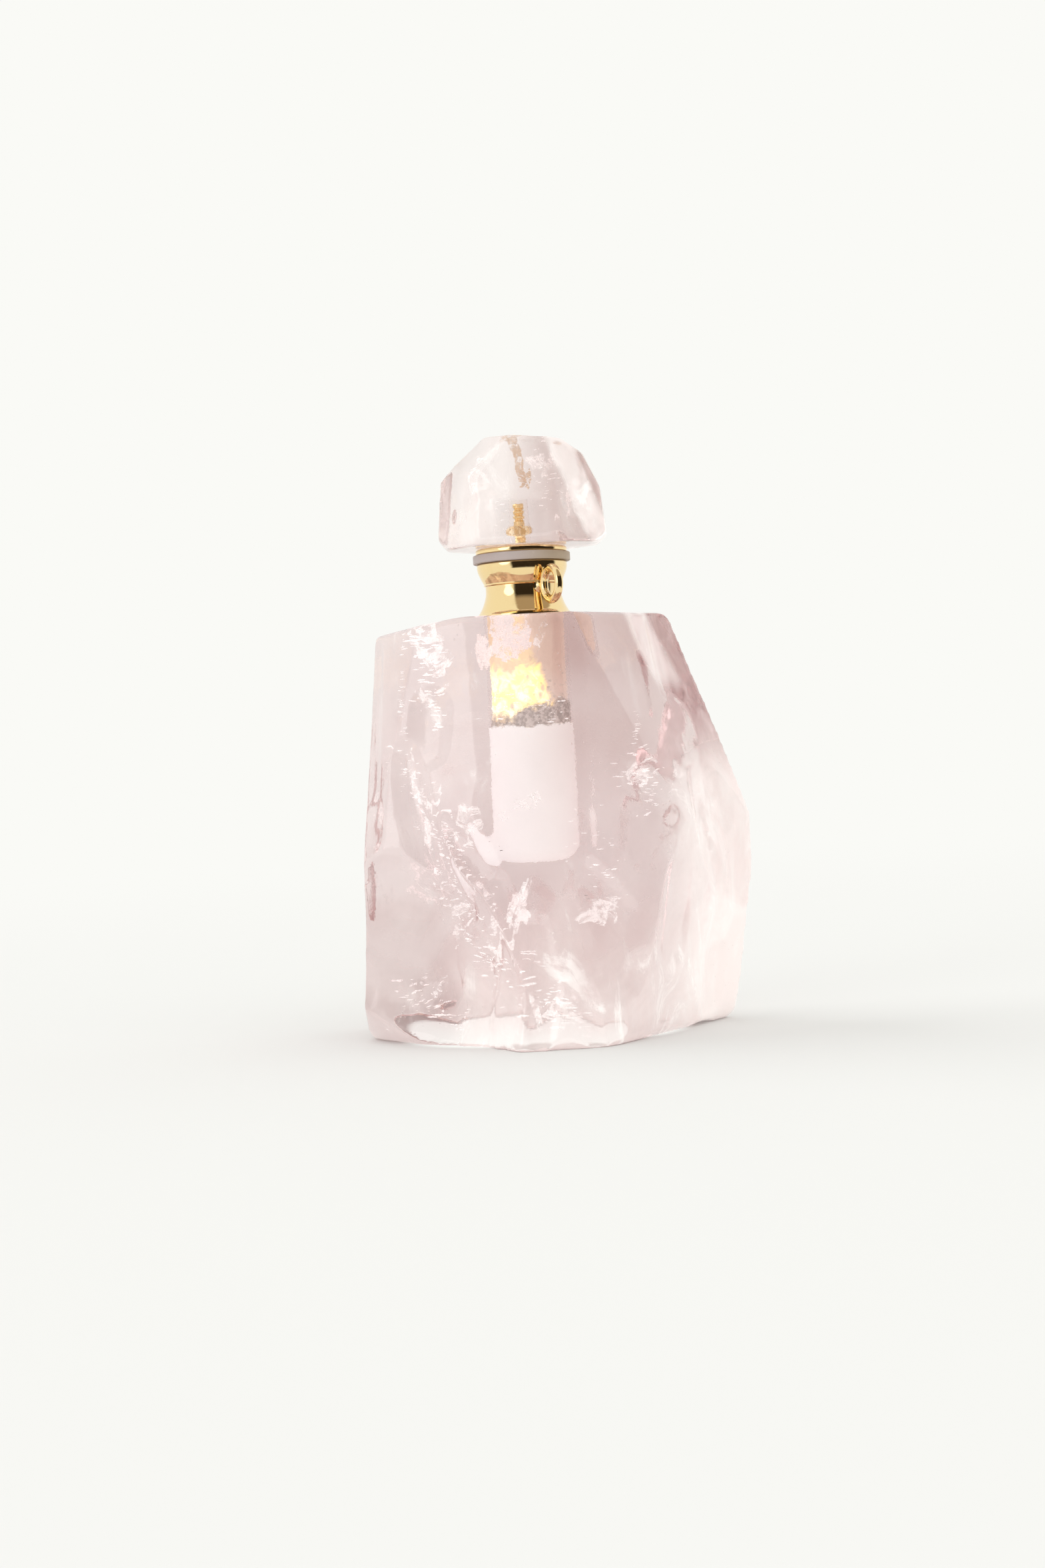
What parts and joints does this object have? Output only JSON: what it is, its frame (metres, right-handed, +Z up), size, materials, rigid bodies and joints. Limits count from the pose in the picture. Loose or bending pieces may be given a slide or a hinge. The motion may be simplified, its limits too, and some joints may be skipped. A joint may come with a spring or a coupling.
{
  "type": "perfume bottle with stopper",
  "caption": "Rose quartz block bottle with a bonded turned brass neck, a seal, and a push-in quartz stopper that carries a glass dabber rod down the drilled bore.",
  "frame": {"origin": "where the axis of the bottle's bore meets the ground base", "axes": "+Z up along the bore, +X towards the block's undercut end, -Y towards the bottle's front"},
  "size_m": [0.0827, 0.0565, 0.122],
  "materials": {
    "rose_quartz": "polished rose quartz, cloudy",
    "rose_quartz_knob": "polished rose quartz, clearer",
    "sleeve_brass": "drawn tube",
    "polished_brass": "mirror polished, gold plated",
    "cement": "set grey filler",
    "clear_cement": "clear resin",
    "seal_silicone": "satin grey silicone",
    "dabber_glass": "fire polished"
  },
  "bodies": {
    "bottle": {"stone_body": "rose_quartz", "bore_sleeve": "sleeve_brass", "sleeve_cement": "cement", "neck_collar": "polished_brass", "ring_lug": "polished_brass", "tassel_ring": "polished_brass"},
    "seal": {"stopper_seal": "seal_silicone"},
    "stopper": {"stopper_plug": "polished_brass", "knob_stud": "polished_brass", "stud_cement": "clear_cement", "knob_stone": "rose_quartz_knob", "dabber_rod": "dabber_glass"}
  },
  "joints": [
    {"name": "stopper_lift", "type": "slide", "parent": "bottle", "child": "seal", "axis": [0, 0, 1], "range_m": [0, 0.072]},
    {"name": "stopper_turn", "type": "hinge", "parent": "seal", "child": "stopper", "pos_m": [0, 0, 0.0995], "axis": [0, 0, 1], "continuous": true}
  ]
}
